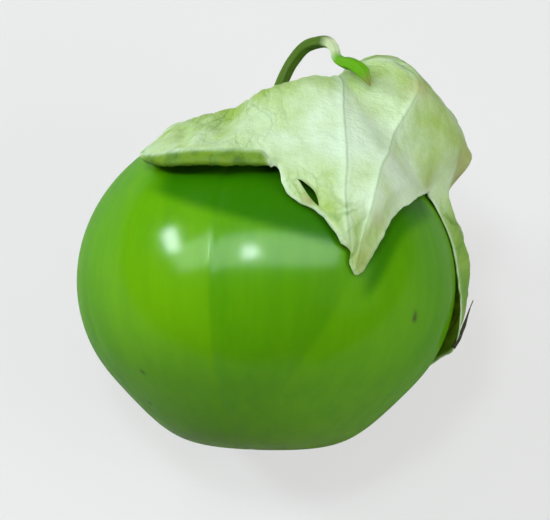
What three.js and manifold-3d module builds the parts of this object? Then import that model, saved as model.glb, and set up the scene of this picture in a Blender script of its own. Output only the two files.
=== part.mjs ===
// A tomatillo as picked: the berry, the papery husk pushed back over its top, and its arched stalk.
//
// Each piece is drawn upright in millimetres, with the stalk end up (+Z), the origin at the berry's
// middle and its bare side towards -Y. The whole is then leaned back until it lies on its resting
// spot. A place on the berry or the husk is an azimuth, in degrees from the front and rising towards
// +X, and a polar angle, in degrees from the stalk end.
import * as THREE from "three";
import { mergeVertices } from "three/addons/utils/BufferGeometryUtils.js";
import Module from "manifold-3d";

// Driving dimensions, in millimetres and degrees.
const BERRY_RADIUS = 24.8;
const BERRY_HALF_HEIGHT = 22;
const BERRY_TILT = 1.5; // how far the berry's own axis leans towards +X
// Rings where the berry is fuller or leaner than an ellipsoid: polar angle, height and reach.
const BERRY_RINGS = [
  { polar: 0, height: -1.8, reach: 15 }, // the dip where the stalk meets it
  { polar: 128, height: -0.3, reach: 12 },
  { polar: 153, height: 0.7, reach: 13 }, // the rim of the blunt base
  { polar: 180, height: -0.4, reach: 8 }, // the blossom scar
];
const FURROWS = [
  { azimuth: -16, slant: 0, depth: 0.12, reach: 4 },
  { azimuth: 24, slant: -0.5, depth: 0.25, reach: 7 },
  { azimuth: 98, slant: 0, depth: 0.4, reach: 8 },
  { azimuth: 170, slant: 0, depth: 0.3, reach: 6 },
  { azimuth: 242, slant: 0.1, depth: 0.4, reach: 8 },
];
const BERRY_FACES = { around: 48, down: 24 };
const LEAN_BACK = 60; // from upright to lying, about the X axis
const REST_FLAT_DEPTH = 0.8; // how far the lowest skin is pressed flat
const REST_SEARCH_STEP = 0.25; // degrees between the places tried as the lowest

const HUSK_THICKNESS = 0.6;
const HUSK_GAP = 0.55; // between the berry's skin and the husk's inner face where it hugs
const CROWN = { tied: 4, free: 22 }; // polar angles: held down to the first, free from the second

// The grid that the husk's faces are drawn on, finer over its shoulders than low on the berry.
const HUSK_GRID = {
  azimuth: 6,
  polars: [5, 10, 15, 20, 25, 30, 35, 40, 45, 50, 55, 59, 62, 65, 71, 79, 89, 100, 112, 126, 141],
};

// Where the husk stands off the berry: the middle of each swell, its height, how far it reaches, and
// a power that is 2 for a soft swell and more for one with a broad top and steep sides.
const SWELLS = [
  { azimuth: 90, polar: 40, height: 8.0, reach: 21, power: 5 }, // the high right shoulder
  { azimuth: 46, polar: 30, height: 4.6, reach: 20, power: 2 },
  { azimuth: 20, polar: 20, height: 2.2, reach: 15, power: 3 },
  { azimuth: 36, polar: 62, height: 2.6, reach: 17, power: 2 },
  { azimuth: -24, polar: 52, height: 1.6, reach: 24, power: 2 }, // the left wing
  { azimuth: -22, polar: 56, height: 0.9, reach: 14, power: 4 }, // its turned-up hem
  { azimuth: 91, polar: 59.5, height: 1.9, reach: 3, power: 2 }, // the shoulder's pinched corner
  { azimuth: 91, polar: 64, height: -0.7, reach: 3, power: 2 }, // and the waist below it
  { azimuth: 92, polar: 83, height: 1.3, reach: 24, power: 4 }, // the right lobe
  { azimuth: 165, polar: 50, height: 2.0, reach: 28, power: 2 },
  { azimuth: 220, polar: 80, height: 0.8, reach: 18, power: 2 },
];

// The husk's free edge, once round: each lobe's tip and the splits between the lobes.
const EDGE = [
  [-74, 42], // tip of the left wing
  [-60, 50],
  [-46, 54],
  [-28, 56],
  [-8, 55.5],
  [3, 54], // split
  [6, 61],
  [14, 69],
  [21, 77],
  [26.8, 88], // tip of the front lobe
  [30, 84.5],
  [35, 78],
  [42, 70.8],
  [53, 66],
  [68, 63], // split
  [75, 66],
  [79, 73],
  [80.8, 82],
  [82, 95],
  [84.5, 105],
  [90, 112],
  [99, 121],
  [110, 127], // tip of the right lobe
  [124, 124],
  [138, 117],
  [152, 108],
  [166, 94],
  [180, 84], // split
  [194, 91],
  [208, 103], // tip of the back lobe
  [221, 99],
  [231, 81],
  [240, 54],
  [252, 38], // split
  [272, 35],
];

// How far the cone that cuts the free edge reaches, as a share of the berry's radius, and the shares
// of the way from its middle to its edge at which its far end is drawn, so that it stays round.
const EDGE_CUT = { reach: 2.5, steps: [0.2, 0.4, 0.6, 0.8, 1] };

const STALK_RADIUS = 0.95;
const STALK_FOOT_RADIUS = 1.6; // where it widens onto the crown
const STALK_FOOT_REACH = 0.1; // share of its length over which the foot widens
const STALK_TIP_RADIUS = 0.35;
const STALK_TIP_START = 0.88; // share of its length from which it narrows to the tip
const STALK_FACES = { along: 20, around: 10 };
// The stalk's centre line, from the crown up, over the husk's shoulder and down to the picked end.
const STALK_LINE = [
  [1.2, 0.2, 22.65],
  [1.6, 1.5, 24.8],
  [2.4, 2.2, 27.0],
  [3.5, 2.0, 29.0],
  [5.1, 0.8, 30.8],
  [6.9, -1.2, 31.4],
  [8.2, -3.2, 31.1],
  [8.9, -5.0, 30.1],
  [9.1, -6.6, 29.0],
  [9.8, -8.1, 28.3],
  [11.0, -9.5, 27.9],
  [12.3, -11.0, 26.9],
  [13.3, -12.3, 24.9],
];

const FINISHES = {
  berry: { color: 0x5f9a12, roughness: 0.25 },
  husk: { color: 0xc9dfae, roughness: 0.8 },
  stalk: { color: 0x6f9430, roughness: 0.6 },
};
const MERGE_DISTANCE = 1e-4;

const wasm = await Module();
wasm.setup();

const radians = THREE.MathUtils.degToRad;
const degrees = THREE.MathUtils.radToDeg;
const bell = (distance, reach, power = 2) => Math.exp(-(Math.abs(distance / reach) ** power));

function direction(azimuth, polar) {
  const a = radians(azimuth);
  const p = radians(polar);
  return new THREE.Vector3(Math.sin(p) * Math.sin(a), -Math.sin(p) * Math.cos(a), Math.cos(p));
}

// The same place as seen about the berry's own, tilted axis.
function aboutBerryAxis(azimuth, polar) {
  const own = direction(azimuth, polar).applyAxisAngle(new THREE.Vector3(0, 1, 0), -radians(BERRY_TILT));
  return {
    azimuth: degrees(Math.atan2(own.x, -own.y)),
    polar: degrees(Math.acos(THREE.MathUtils.clamp(own.z, -1, 1))),
  };
}

// The berry's radius in a direction: an ellipsoid with its rings, dips and furrows.
function berryRadius(towardsAzimuth, towardsPolar) {
  const { azimuth, polar } = aboutBerryAxis(towardsAzimuth, towardsPolar);
  const p = radians(polar);
  let radius = 1 / Math.hypot(Math.sin(p) / BERRY_RADIUS, Math.cos(p) / BERRY_HALF_HEIGHT);
  for (const ring of BERRY_RINGS) radius += ring.height * bell(polar - ring.polar, ring.reach);
  for (const furrow of FURROWS) {
    const middle = furrow.azimuth + furrow.slant * (polar - 90);
    const turn = THREE.MathUtils.euclideanModulo(azimuth - middle + 180, 360) - 180;
    radius -= furrow.depth * bell(turn, furrow.reach) * Math.sin(p) ** 2;
  }
  return radius;
}

// How far the husk's outer face stands off the berry.
function huskLift(azimuth, polar) {
  const here = direction(azimuth, polar);
  const freedom = THREE.MathUtils.smoothstep(
    aboutBerryAxis(azimuth, polar).polar,
    CROWN.tied,
    CROWN.free,
  );
  let swell = 0;
  for (const { azimuth: a, polar: p, height, reach, power } of SWELLS) {
    const apart = degrees(here.angleTo(direction(a, p)));
    swell += height * bell(apart, reach, power);
  }
  return HUSK_GAP + HUSK_THICKNESS + swell * freedom;
}

function huskPoint(azimuth, polar, depth) {
  const radius = berryRadius(azimuth, polar) + huskLift(azimuth, polar) - depth;
  return direction(azimuth, polar).multiplyScalar(radius);
}

function solidFrom(geometry) {
  geometry.deleteAttribute("normal");
  geometry.deleteAttribute("uv");
  const merged = mergeVertices(geometry, MERGE_DISTANCE);
  const mesh = new wasm.Mesh({
    numProp: 3,
    vertProperties: merged.attributes.position.array,
    triVerts: new Uint32Array(merged.index.array),
  });
  return new wasm.Manifold(mesh);
}

function geometryFrom(solid) {
  const { vertProperties, triVerts } = solid.getMesh();
  const geometry = new THREE.BufferGeometry();
  geometry.setAttribute("position", new THREE.BufferAttribute(vertProperties, 3));
  geometry.setIndex(new THREE.BufferAttribute(triVerts, 1));
  geometry.computeVertexNormals();
  return geometry;
}

function closedGeometry(points, faces) {
  const geometry = new THREE.BufferGeometry().setFromPoints(points);
  geometry.setIndex(faces.flat());
  geometry.computeVertexNormals();
  return geometry;
}

// The berry, drawn as a sphere whose points are moved to the berry's radius.
function berryGeometry() {
  const { around, down } = BERRY_FACES;
  const geometry = new THREE.SphereGeometry(1, around, down).rotateX(Math.PI / 2);
  const position = geometry.attributes.position;
  const point = new THREE.Vector3();
  for (let i = 0; i < position.count; i++) {
    point.fromBufferAttribute(position, i);
    const polar = degrees(Math.acos(THREE.MathUtils.clamp(point.z, -1, 1)));
    const azimuth = degrees(Math.atan2(point.x, -point.y));
    point.normalize().multiplyScalar(berryRadius(azimuth, polar));
    position.setXYZ(i, point.x, point.y, point.z);
  }
  return geometry;
}

// A surface seen from the berry's middle, as rings of points round a first point, out to its edge.
// There are columns of points from that first point outwards, each with a point on every ring.
function ringedFaces(columns, rings, start) {
  const at = (c, ring) => start + (ring === 0 ? 0 : 1 + (c % columns) * rings + ring - 1);
  const faces = [];
  for (let c = 0; c < columns; c++) {
    for (let ring = 0; ring < rings; ring++) {
      faces.push([at(c, ring), at(c, ring + 1), at(c + 1, ring + 1)]);
      if (ring > 0) faces.push([at(c, ring), at(c + 1, ring + 1), at(c + 1, ring)]);
    }
  }
  const rim = Array.from({ length: columns }, (_, c) => at(c, rings));
  return { faces, rim };
}

// A dome of husk all round, before it is torn: an outer and an inner face, joined at the rim.
function huskDome() {
  const { azimuth: turn, polars } = HUSK_GRID;
  const columns = 360 / turn;
  const points = [];
  for (const depth of [0, HUSK_THICKNESS]) {
    points.push(huskPoint(0, 0, depth));
    for (let c = 0; c < columns; c++)
      for (const polar of polars) points.push(huskPoint(c * turn, polar, depth));
  }
  const outer = ringedFaces(columns, polars.length, 0);
  const inner = ringedFaces(columns, polars.length, points.length / 2);
  const faces = [...outer.faces, ...inner.faces.map(([a, b, c]) => [a, c, b])];
  outer.rim.forEach((here, c) => {
    const next = (c + 1) % columns;
    faces.push([here, inner.rim[c], inner.rim[next]], [here, inner.rim[next], outer.rim[next]]);
  });
  return closedGeometry(points, faces);
}

// Everything within the free edge, as seen from the berry's middle: a cone with its point there.
function insideEdge() {
  const reach = EDGE_CUT.reach * BERRY_RADIUS;
  const points = [new THREE.Vector3(), direction(0, 0).multiplyScalar(reach)];
  for (const [azimuth, polar] of EDGE)
    for (const step of EDGE_CUT.steps) points.push(direction(azimuth, polar * step).multiplyScalar(reach));
  const { faces, rim } = ringedFaces(EDGE.length, EDGE_CUT.steps.length, 1);
  rim.forEach((here, c) => faces.push([0, rim[(c + 1) % rim.length], here]));
  return closedGeometry(points, faces);
}

// What the tears leave of the dome.
function huskGeometry() {
  return geometryFrom(solidFrom(huskDome()).intersect(solidFrom(insideEdge())));
}

// The stalk: rings along its line, wide at the foot, narrow at the picked end, closed at both.
function stalkGeometry() {
  const { along: steps, around: sides } = STALK_FACES;
  const line = new THREE.CatmullRomCurve3(STALK_LINE.map((place) => new THREE.Vector3(...place)));
  const frames = line.computeFrenetFrames(steps);
  const points = [];
  const faces = [];
  for (let step = 0; step <= steps; step++) {
    const share = step / steps;
    const centre = line.getPointAt(share);
    const foot = (STALK_FOOT_RADIUS - STALK_RADIUS) * bell(share, STALK_FOOT_REACH);
    const tip = (STALK_RADIUS - STALK_TIP_RADIUS) * THREE.MathUtils.smoothstep(share, STALK_TIP_START, 1);
    const radius = STALK_RADIUS + foot - tip;
    for (let side = 0; side < sides; side++) {
      const turn = (side / sides) * 2 * Math.PI;
      const point = centre.clone();
      point.addScaledVector(frames.normals[step], radius * Math.cos(turn));
      point.addScaledVector(frames.binormals[step], radius * Math.sin(turn));
      points.push(point);
    }
  }
  points.push(line.getPointAt(0), line.getPointAt(1));
  const [first, last] = [points.length - 2, points.length - 1];
  for (let side = 0; side < sides; side++) {
    const beside = (side + 1) % sides;
    for (let step = 0; step < steps; step++) {
      const [low, high] = [step * sides, (step + 1) * sides];
      faces.push([low + side, low + beside, high + beside]);
      faces.push([low + side, high + beside, high + side]);
    }
    faces.push([first, beside, side], [last, steps * sides + side, steps * sides + beside]);
  }
  return closedGeometry(points, faces);
}

// The direction that points down once the tomatillo is leaned back, the place where the berry
// reaches furthest that way, and the plane of the flat that it lies on.
const downwards = direction(180, 180 - LEAN_BACK);
let lowest = new THREE.Vector3();
for (let polar = 90; polar <= 180; polar += REST_SEARCH_STEP) {
  const skin = direction(180, polar).multiplyScalar(berryRadius(180, polar));
  if (skin.dot(downwards) > lowest.dot(downwards)) lowest = skin;
}
const restDistance = lowest.dot(downwards) - REST_FLAT_DEPTH;
const restCentre = lowest.clone().addScaledVector(downwards, -REST_FLAT_DEPTH);

function berryWithFlat() {
  const side = BERRY_RADIUS * 2;
  const press = new THREE.BoxGeometry(side, side, side).rotateX(radians(LEAN_BACK));
  press.translate(...downwards.clone().multiplyScalar(restDistance + side / 2));
  return geometryFrom(solidFrom(berryGeometry()).subtract(solidFrom(press)));
}

function piece(name, geometry, finish) {
  const material = new THREE.MeshStandardMaterial({ ...finish, metalness: 0 });
  const mesh = new THREE.Mesh(geometry, material);
  mesh.name = name;
  return mesh;
}

const upright = new THREE.Group();
upright.add(piece("fruit", berryWithFlat(), FINISHES.berry));
upright.add(piece("husk", huskGeometry(), FINISHES.husk));
upright.add(piece("stem", stalkGeometry(), FINISHES.stalk));
upright.position.copy(restCentre).negate();

const tomatillo = new THREE.Group();
tomatillo.add(upright);
tomatillo.rotation.x = -radians(LEAN_BACK);

export default tomatillo;
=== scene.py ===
"""A tomatillo as picked: a glossy berry, the papery husk torn open over it, and its arched stalk.

Shapes are reckoned upright, stalk end up and bare side towards -Y, with the berry's middle at the
origin, and are then leaned back onto the flat that the solids rest on. A place on the berry or the
husk is a direction from that middle: an azimuth from the front, rising towards +X, and a polar angle
from the stalk end, both in degrees. Lengths are in metres.
"""

import math

import bpy
import numpy as np
from bpy.props import FloatProperty, FloatVectorProperty, IntProperty, PointerProperty
from mathutils import Matrix, Vector, noise
from mathutils.geometry import delaunay_2d_cdt
from mathutils.kdtree import KDTree


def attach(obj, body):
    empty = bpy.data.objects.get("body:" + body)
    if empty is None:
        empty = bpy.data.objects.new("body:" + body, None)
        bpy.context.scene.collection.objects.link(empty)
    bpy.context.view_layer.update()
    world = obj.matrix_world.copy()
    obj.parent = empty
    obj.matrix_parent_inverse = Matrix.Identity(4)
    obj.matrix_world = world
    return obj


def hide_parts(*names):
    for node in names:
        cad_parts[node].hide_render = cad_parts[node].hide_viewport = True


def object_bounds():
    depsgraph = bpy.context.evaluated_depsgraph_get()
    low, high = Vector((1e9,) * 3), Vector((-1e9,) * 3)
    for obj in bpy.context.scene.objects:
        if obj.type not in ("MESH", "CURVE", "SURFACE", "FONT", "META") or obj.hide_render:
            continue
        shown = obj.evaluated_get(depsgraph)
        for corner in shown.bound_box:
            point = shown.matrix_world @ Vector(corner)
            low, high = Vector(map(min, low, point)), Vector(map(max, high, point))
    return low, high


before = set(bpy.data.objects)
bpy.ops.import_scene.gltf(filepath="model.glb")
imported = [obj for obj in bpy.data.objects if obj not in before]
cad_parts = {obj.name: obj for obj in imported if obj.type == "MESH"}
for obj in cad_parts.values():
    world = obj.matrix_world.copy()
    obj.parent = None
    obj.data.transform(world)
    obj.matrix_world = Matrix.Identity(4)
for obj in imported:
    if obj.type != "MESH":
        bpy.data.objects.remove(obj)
CAD_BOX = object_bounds()

bl_info = {
    "name": "Tomatillo",
    "version": (1, 0, 0),
    "blender": (4, 5, 0),
    "location": "View3D > Sidebar > Tomatillo",
    "description": "Builds a tomatillo in its torn husk on the packed solids",
    "category": "Add Mesh",
}

MM = 0.001
MATH = "ShaderNodeMath"

# The berry's form, as the solids have it: an ellipsoid, rings round it and furrows down it.
BERRY_TILT = 1.5  # degrees that its own axis leans towards +X
# Rings: polar angle, height and reach.
BERRY_RINGS = (
    (0, -1.8 * MM, 15),
    (128, -0.3 * MM, 12),
    (153, 0.7 * MM, 13),
    (180, -0.4 * MM, 8),
)
# Furrows: azimuth, slant, depth and reach.
FURROWS = (
    (-16, 0, 0.12 * MM, 4),
    (24, -0.5, 0.25 * MM, 7),
    (98, 0, 0.4 * MM, 8),
    (170, 0, 0.3 * MM, 6),
    (242, 0.1, 0.4 * MM, 8),
)
# Finer marks that only the skin has: the blossom scar's rim and pit, and hairline creases.
SCAR_RINGS = ((176.2, 0.1 * MM, 1.2), (180, -0.35 * MM, 1.8))
CREASES = (
    (-16.2, 0, 0.12 * MM, 1.1),
    (62, 0.05, 0.05 * MM, 1.6),
    (133, -0.05, 0.06 * MM, 1.5),
    (205, 0, 0.05 * MM, 1.6),
    (292, 0.08, 0.06 * MM, 1.5),
)
# Dark specks in the skin: azimuth, polar angle and radius.
SPECKS = (
    (50.5, 100, 0.5 * MM),
    (-48, 118, 0.3 * MM),
    (148, 140, 0.35 * MM),
    (255, 96, 0.4 * MM),
    (300, 132, 0.3 * MM),
)
# Where the skin is painted darker for shade or brighter for light: the azimuths between which it
# starts and ends.
UNDER_WING = (-50, -34, 20, 34)
BESIDE_LOBE = (26, 34, 64, 74)
LEFT_OF_FURROW = (-66, -48, -17.5, -15.5)
LEAN_BACK = 60  # degrees from upright to lying
REST_FLAT_DEPTH = 0.8 * MM
REST_FLAT_TURN = 0.15 * MM  # how softly the flat turns into the round skin

SHOULDER_CORNER = (91, 59.5)
# The husk's swells, as the solids have them: azimuth, polar angle, height, reach and power.
SWELLS = (
    (90, 40, 8.0 * MM, 21, 5),
    (46, 30, 4.6 * MM, 20, 2),
    (20, 20, 2.2 * MM, 15, 3),
    (36, 62, 2.6 * MM, 17, 2),
    (-24, 52, 1.6 * MM, 24, 2),
    (*SHOULDER_CORNER, 1.9 * MM, 3, 2),
    (91, 64, -0.7 * MM, 3, 2),
    (92, 83, 1.3 * MM, 24, 4),
    (165, 50, 2.0 * MM, 28, 2),
    (220, 80, 0.8 * MM, 18, 2),
)
HUSK_RADIUS = 25 * MM  # a mean radius, to turn lengths on the sheet into angles
FINE = 0.1 * MM / HUSK_RADIUS  # radians between the points of a line that others are measured from
HUSK_STAND_OFF = 1.15 * MM  # outer face to skin where it hugs
HUSK_CLEARANCE = 0.15 * MM  # least room left between its inner face and the skin
RIM_HUG = 2.8 * MM  # how far in from its rims it is drawn to their heights
RIB_WIDTH, RIB_GROOVE, RIB_FLANK = 0.45 * MM, 0.15 * MM, 0.6 * MM
RIB_ROWS = (0, -0.24, 0.24, -0.55, 0.55)  # rows of points along each rib, in millimetres
# Least distances between the sheet's points, in mesh spacings: among the ribs' rows, from those to
# the hem's, from either to the rest, from those two to the rims, and from the hem's to the rims.
GAPS = {"ribs": 0.42, "hem": 0.5, "fill": 0.6, "rims": 0.55, "hem to rims": 0.3}
# The nets of veins: cells to the metre, wide ones about 3 mm across and fine ones 1.1 mm, and the
# veins' widths as shares of a cell.
VEIN_NETS, VEIN_WIDTHS = (330.0, 900.0), (0.085, 0.13)
CROWN_TIED, CROWN_FREE = 4, 22  # polar angles between which the swells grow from nothing
CROWN_PLEATS, PLEAT_HEIGHT = 10, 0.3 * MM
FOLD_HEIGHT, FOLD_LENGTH = 0.35 * MM, 7 * MM
# The torn edge's waves: height and length in millimetres.
EDGE_WAVES = ((0.22, 3.2), (0.16, 1.1))
HUSK_END = 138  # polar angle beyond which there is no husk

# The free edge, once round, with the left wing's hem laid out flat.
EDGE = (
    (-69, 36.5), (-62.5, 44), (-57, 49.8), (-50, 54.6), (-42, 58), (-30, 60.4), (-14, 60.7),
    (-5, 60.5), (-0.8, 59.9), (0.9, 58), (1.8, 55.8), (3.1, 55), (4.5, 56.4), (5.2, 58.8),
    (5.6, 61.4), (7, 64), (10.6, 67), (16, 70), (21, 76.8), (23.4, 81.5), (26.2, 87.6),
    (27.8, 87.2), (30, 84.6), (34.6, 78), (42, 70.6), (51, 66.6), (63, 63.6), (72, 62.6),
    (77, 67), (81, 75), (83, 83), (84, 91), (84.4, 99), (85, 105.5), (87, 110), (92, 114),
    (100, 120.5), (111, 126), (124, 123.5), (138, 116.5), (152, 107), (166, 93), (180, 83),
    (194, 90), (208, 102), (221, 98), (231, 80), (240, 54), (252, 38), (270, 34),
)
# Where the left wing's hem is folded up, the azimuths between which the fold starts and ends, and
# its radius.
HEM_LINE = (
    (-62.5, 43.2), (-58, 47.4), (-52, 50.8), (-44, 53.4), (-36, 54.6), (-26, 55), (-14, 54.9),
    (-6, 54.8), (2.6, 54.7),
)
HEM_BAND = (-66, -61.5, 1.2, 2.4)
HEM_FOLD = 0.25 * MM
# A tear that leaves a sliver along the front lobe's edge.
TEAR = ((10.2, 59.6), (12.6, 61.2), (15.2, 64.2), (16.2, 67.8), (14.4, 66.2), (12.2, 63.2))

# Ribs, from the crown to the tips: how proud they stand, and the places they pass.
RIBS = (
    (1.0, ((50, 8), (56, 20), (45, 28), (36, 36), (31, 45), (26.5, 56), (23.4, 68), (25.4, 87))),
    (0.9, ((64, 8), (69, 34), (66, 40), (57.5, 44.5), (43, 54), (35.5, 60), (29, 74), (26, 87))),
    (0.5, ((-24, 8), (-18, 18), (-12, 26), (-4, 32), (2.4, 38), (-1, 46))),
    (0.8, ((-62, 8), (-67, 24), (-70, 34), (-72, 39))),
    (0.7, ((84, 10), (88, 34), (90, 50), (90, 60))),
    (1.0, ((108, 8), (105, 40), (102, 80), (99, 110), (98, 131))),
    (0.6, ((134, 8), (133, 50), (131, 88), (128, 121))),
    (1.0, ((160, 8), (158, 45), (160, 72), (163, 92))),
    (0.6, ((184, 8), (182, 40), (181, 82))),
    (1.0, ((207, 8), (206, 45), (208, 80), (208, 101))),
    (0.6, ((234, 8), (234, 40), (233, 70))),
    (0.9, ((262, 8), (262, 24), (260, 36))),
)
# Sharp crests where the sheet is folded outwards: height, reach and places.
CRESTS = (
    (0.7 * MM, 1.7 * MM, ((78, 28), (70, 36), (64, 41), (55, 46), (43, 54), (35.5, 60), (30, 70))),
    (0.2 * MM, 1.2 * MM, ((84, 44), (88, 52), (90, 59))),
    (0.4 * MM, 1.4 * MM, ((160, 20), (162, 60), (163, 88))),
    (0.4 * MM, 1.4 * MM, ((207, 20), (208, 60), (208, 96))),
)
# Sharp creases pressed into it: depth, reach and places.
CREASES_IN = (
    (0.5 * MM, 0.5 * MM, ((69.5, 33), (67.5, 37.5), (64.5, 40.2), (61, 41.2))),
    (0.3 * MM, 0.4 * MM, ((31.5, 66), (29.2, 70), (27.5, 76))),
    (0.5 * MM, 0.9 * MM, ((-50, 34), (-42, 40), (-36, 46), (-33, 52))),
    (0.9 * MM, 1.5 * MM, ((-26, 26), (-24, 32), (-22, 38), (-22, 43))),
    (0.5 * MM, 0.6 * MM, ((120, 30), (124, 46), (122, 60))),
    (0.5 * MM, 0.6 * MM, ((196, 24), (190, 40), (193, 58))),
)
# What the sheet's outer face stands at along its rims: azimuth, polar angle, reach and height.
RIM_HEIGHTS = (
    (26, 86, 13, 0.6 * MM),
    (12, 68, 8, 0.9 * MM),
    (44, 71, 9, 1.3 * MM),
    (75, 66, 4, 0.7 * MM),
    (80, 69, 9, 0.2 * MM),
    (80, 76, 9, 0.36 * MM),
    (83, 88, 9, 0.36 * MM),
    (84, 100, 7, 1.3 * MM),
    (86, 108, 6, 1.9 * MM),
    (98, 119, 9, 0.5 * MM),
    (124, 123, 14, 0.6 * MM),
)

# Where the paper is dried to tan, as green as its veins, and bleached pale: azimuth, polar angle,
# reach and strength.
DRY_PLACES = (
    (90, 60, 5, 1.0), (66, 41, 2.5, 0.7), (29, 84, 5, 0.35), (34, 73, 2.5, 0.4),
    (13, 66, 2, 0.7), (-75, 42, 4, 0.8), (75, 137, 8, 0.7), (208, 102, 10, 0.8),
    (164, 93, 6, 0.6), (260, 38, 6, 0.6), (70, 62, 4, 0.35),
)
GREEN_PLACES = (
    (85, 74, 6, 0.45), (86, 80, 7, 0.6), (88, 92, 9, 0.8), (91, 106, 8, 0.6), (28, 84, 3, 0.2),
)
PALE_PLACES = (
    (32, 46, 20, 1.0), (44, 60, 13, 1.0), (32, 66, 9, 0.8), (8, 46, 13, 0.75), (56, 58, 9, 0.9),
    (78, 62, 8, 0.6), (-48, 46, 12, 0.45), (-20, 46, 13, 0.5), (-4, 38, 11, 0.65),
    (90, 42, 16, 0.5),
)

# The stalk's centre line in millimetres, as the solid has it, with its foot taken down into the
# crown.
STALK_LINE = (
    (1.1, 0.0, 21.2), (1.3, 0.6, 23.0), (1.7, 1.7, 25.2), (2.4, 2.2, 27.0), (3.5, 2.0, 29.0),
    (5.1, 0.8, 30.8), (6.9, -1.2, 31.4), (8.2, -3.2, 31.1), (8.9, -5.0, 30.1),
    (9.1, -6.6, 29.0), (9.8, -8.1, 28.3), (11.0, -9.5, 27.9), (12.3, -11.0, 26.9),
    (13.3, -12.3, 24.9),
)
# Its girth along the way, as a share of its radius.
GIRTH = ((0, 1.0), (0.5, 0.98), (0.64, 0.8), (0.76, 0.85), (0.86, 1.2), (0.94, 0.8), (1, 0.08))
# A dried shred that stands off the right lobe's rim, in millimetres from its root to its tip.
SHRED = (
    (24.4, -1.7, -8.6), (25.2, -2.0, -7.2), (25.8, -2.4, -5.7), (26.25, -2.8, -4.2),
    (26.85, -3.3, -2.4),
)
SHRED_HALF_WIDTH = 0.32 * MM


def linear(hex_colour):
    """An sRGB hex colour as the linear red, green and blue that Blender works in."""
    channels = [int(hex_colour[i : i + 2], 16) / 255 for i in (1, 3, 5)]
    return [c / 12.92 if c <= 0.04045 else ((c + 0.055) / 1.055) ** 2.4 for c in channels]


def colour_setting(name, description, hex_colour):
    return FloatVectorProperty(
        name=name, description=description, default=linear(hex_colour), subtype="COLOR", min=0, max=1
    )


def length_setting(name, description, metres):
    return FloatProperty(
        name=name, description=description, default=metres, unit="LENGTH", precision=5
    )


class BerrySettings(bpy.types.PropertyGroup):
    radius: length_setting("Radius", "Across the berry, from its axis", 24.8 * MM)
    half_height: length_setting("Half Height", "Along its axis, from its middle", 22 * MM)
    furrow_depth: FloatProperty(
        name="Furrow Depth", description="Share of their own depth", default=1.0
    )
    segments: IntProperty(name="Segments", description="Faces once round", default=440, min=16)
    rings: IntProperty(name="Rings", description="Faces from end to end", default=170, min=8)
    skin: colour_setting("Skin", "The skin's main green", "#519405")
    # The bright colour serves both the skin's streaks and the painted light beside a furrow.
    bright: colour_setting("Bright Streaks", "Yellower green between the furrows", "#6dac06")
    # Painted shade: the husk's shadow on the skin, painted as a darker green by its torn edge.
    deep: colour_setting("Painted Shade", "Darker green by the husk's torn edge", "#276b00")
    base: colour_setting("Base", "Olive green towards the blossom scar", "#657f10")
    scar: colour_setting("Scar", "Dry tissue of the blossom scar and the specks", "#3d3a1c")


class HuskSettings(bpy.types.PropertyGroup):
    thickness: length_setting("Thickness", "The sheet's thickness", 0.2 * MM)
    spacing: length_setting("Mesh Spacing", "Between the sheet's points", 0.44 * MM)
    rib_height: length_setting("Rib Height", "How proud a main rib stands", 0.26 * MM)
    crinkle: length_setting("Crinkle", "Height of the sheet's small creases", 0.16 * MM)
    puff: length_setting("Puff", "How far the sheet bulges between its veins", 0.3 * MM)
    pale: colour_setting("Pale", "Dry, bleached paper of the front lobes", "#d7eeca")
    fresh: colour_setting("Fresh", "Greener paper of the shoulder and the back", "#a0c056")
    vein: colour_setting("Veins", "Ribs and the net of veins between them", "#6f9a3a")
    inside: colour_setting("Inside", "The smooth inner face", "#6b8e18")
    olive: colour_setting("Olive", "Blotches on the inner face", "#41690a")
    dead: colour_setting("Dead", "The shred that has dried right up", "#3a3427")
    dry: colour_setting("Dry", "Tips and corners dried to tan", "#a39a5e")


class StalkSettings(bpy.types.PropertyGroup):
    radius: length_setting("Radius", "The stalk's radius along its arch", 0.92 * MM)
    foot_radius: length_setting("Foot Radius", "Its radius where it meets the crown", 1.9 * MM)
    ridges: FloatProperty(name="Ridges", description="How many run along it", default=5)
    ridge_height: length_setting("Ridge Height", "How proud a ridge stands", 0.06 * MM)
    sides: IntProperty(name="Sides", description="Faces round the stalk", default=40, min=6)
    steps: IntProperty(name="Steps", description="Faces along the stalk", default=150, min=8)
    # Painted shade: the leg by the crown is painted a darker olive for the shade it lies in.
    shaded: colour_setting("Shaded Green", "The leg by the crown, painted darker as shade", "#4a6a18")
    bright: colour_setting("Young Green", "The free end's vivid green", "#5fa208")
    # Painted highlight: the outside of the bend is painted pale where light shines on it; the stalk's
    # pale fibres take this colour too.
    highlight_and_fibres: colour_setting("Highlight and Fibres", "Painted highlight on the bend, and the pale fibres", "#c4d4a4")
    cut: colour_setting("Cut", "The dried, picked end", "#8a7f48")


class StageSettings(bpy.types.PropertyGroup):
    lens: FloatProperty(name="Lens", description="Focal length in millimetres", default=200)
    elevation: FloatProperty(
        name="Elevation",
        description="How far above the horizon the camera looks from",
        default=math.radians(60),
        subtype="ANGLE",
    )
    share: FloatProperty(
        name="Share of Frame", description="How much of the width the object fills", default=0.72
    )
    floor: colour_setting("Floor", "The pale floor's paint", "#b9b9b6")


# ---------------------------------------------------------------- the shapes' rules


def bell(distance, reach, power=2):
    return np.exp(-(np.abs(distance / reach) ** power))


def smoothstep(value, low, high):
    share = np.clip((value - low) / (high - low), 0, 1)
    return share * share * (3 - 2 * share)


def band(value, rise, full, fade, end):
    """1 within a band of values, falling smoothly to nothing on either side."""
    return smoothstep(value, rise, full) * (1 - smoothstep(value, fade, end))


def unit(vectors):
    return vectors / np.linalg.norm(vectors, axis=-1, keepdims=True)


def direction(azimuth, polar):
    a, p = np.radians(azimuth), np.radians(polar)
    return np.stack([np.sin(p) * np.sin(a), -np.sin(p) * np.cos(a), np.cos(p)], axis=-1)


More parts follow.
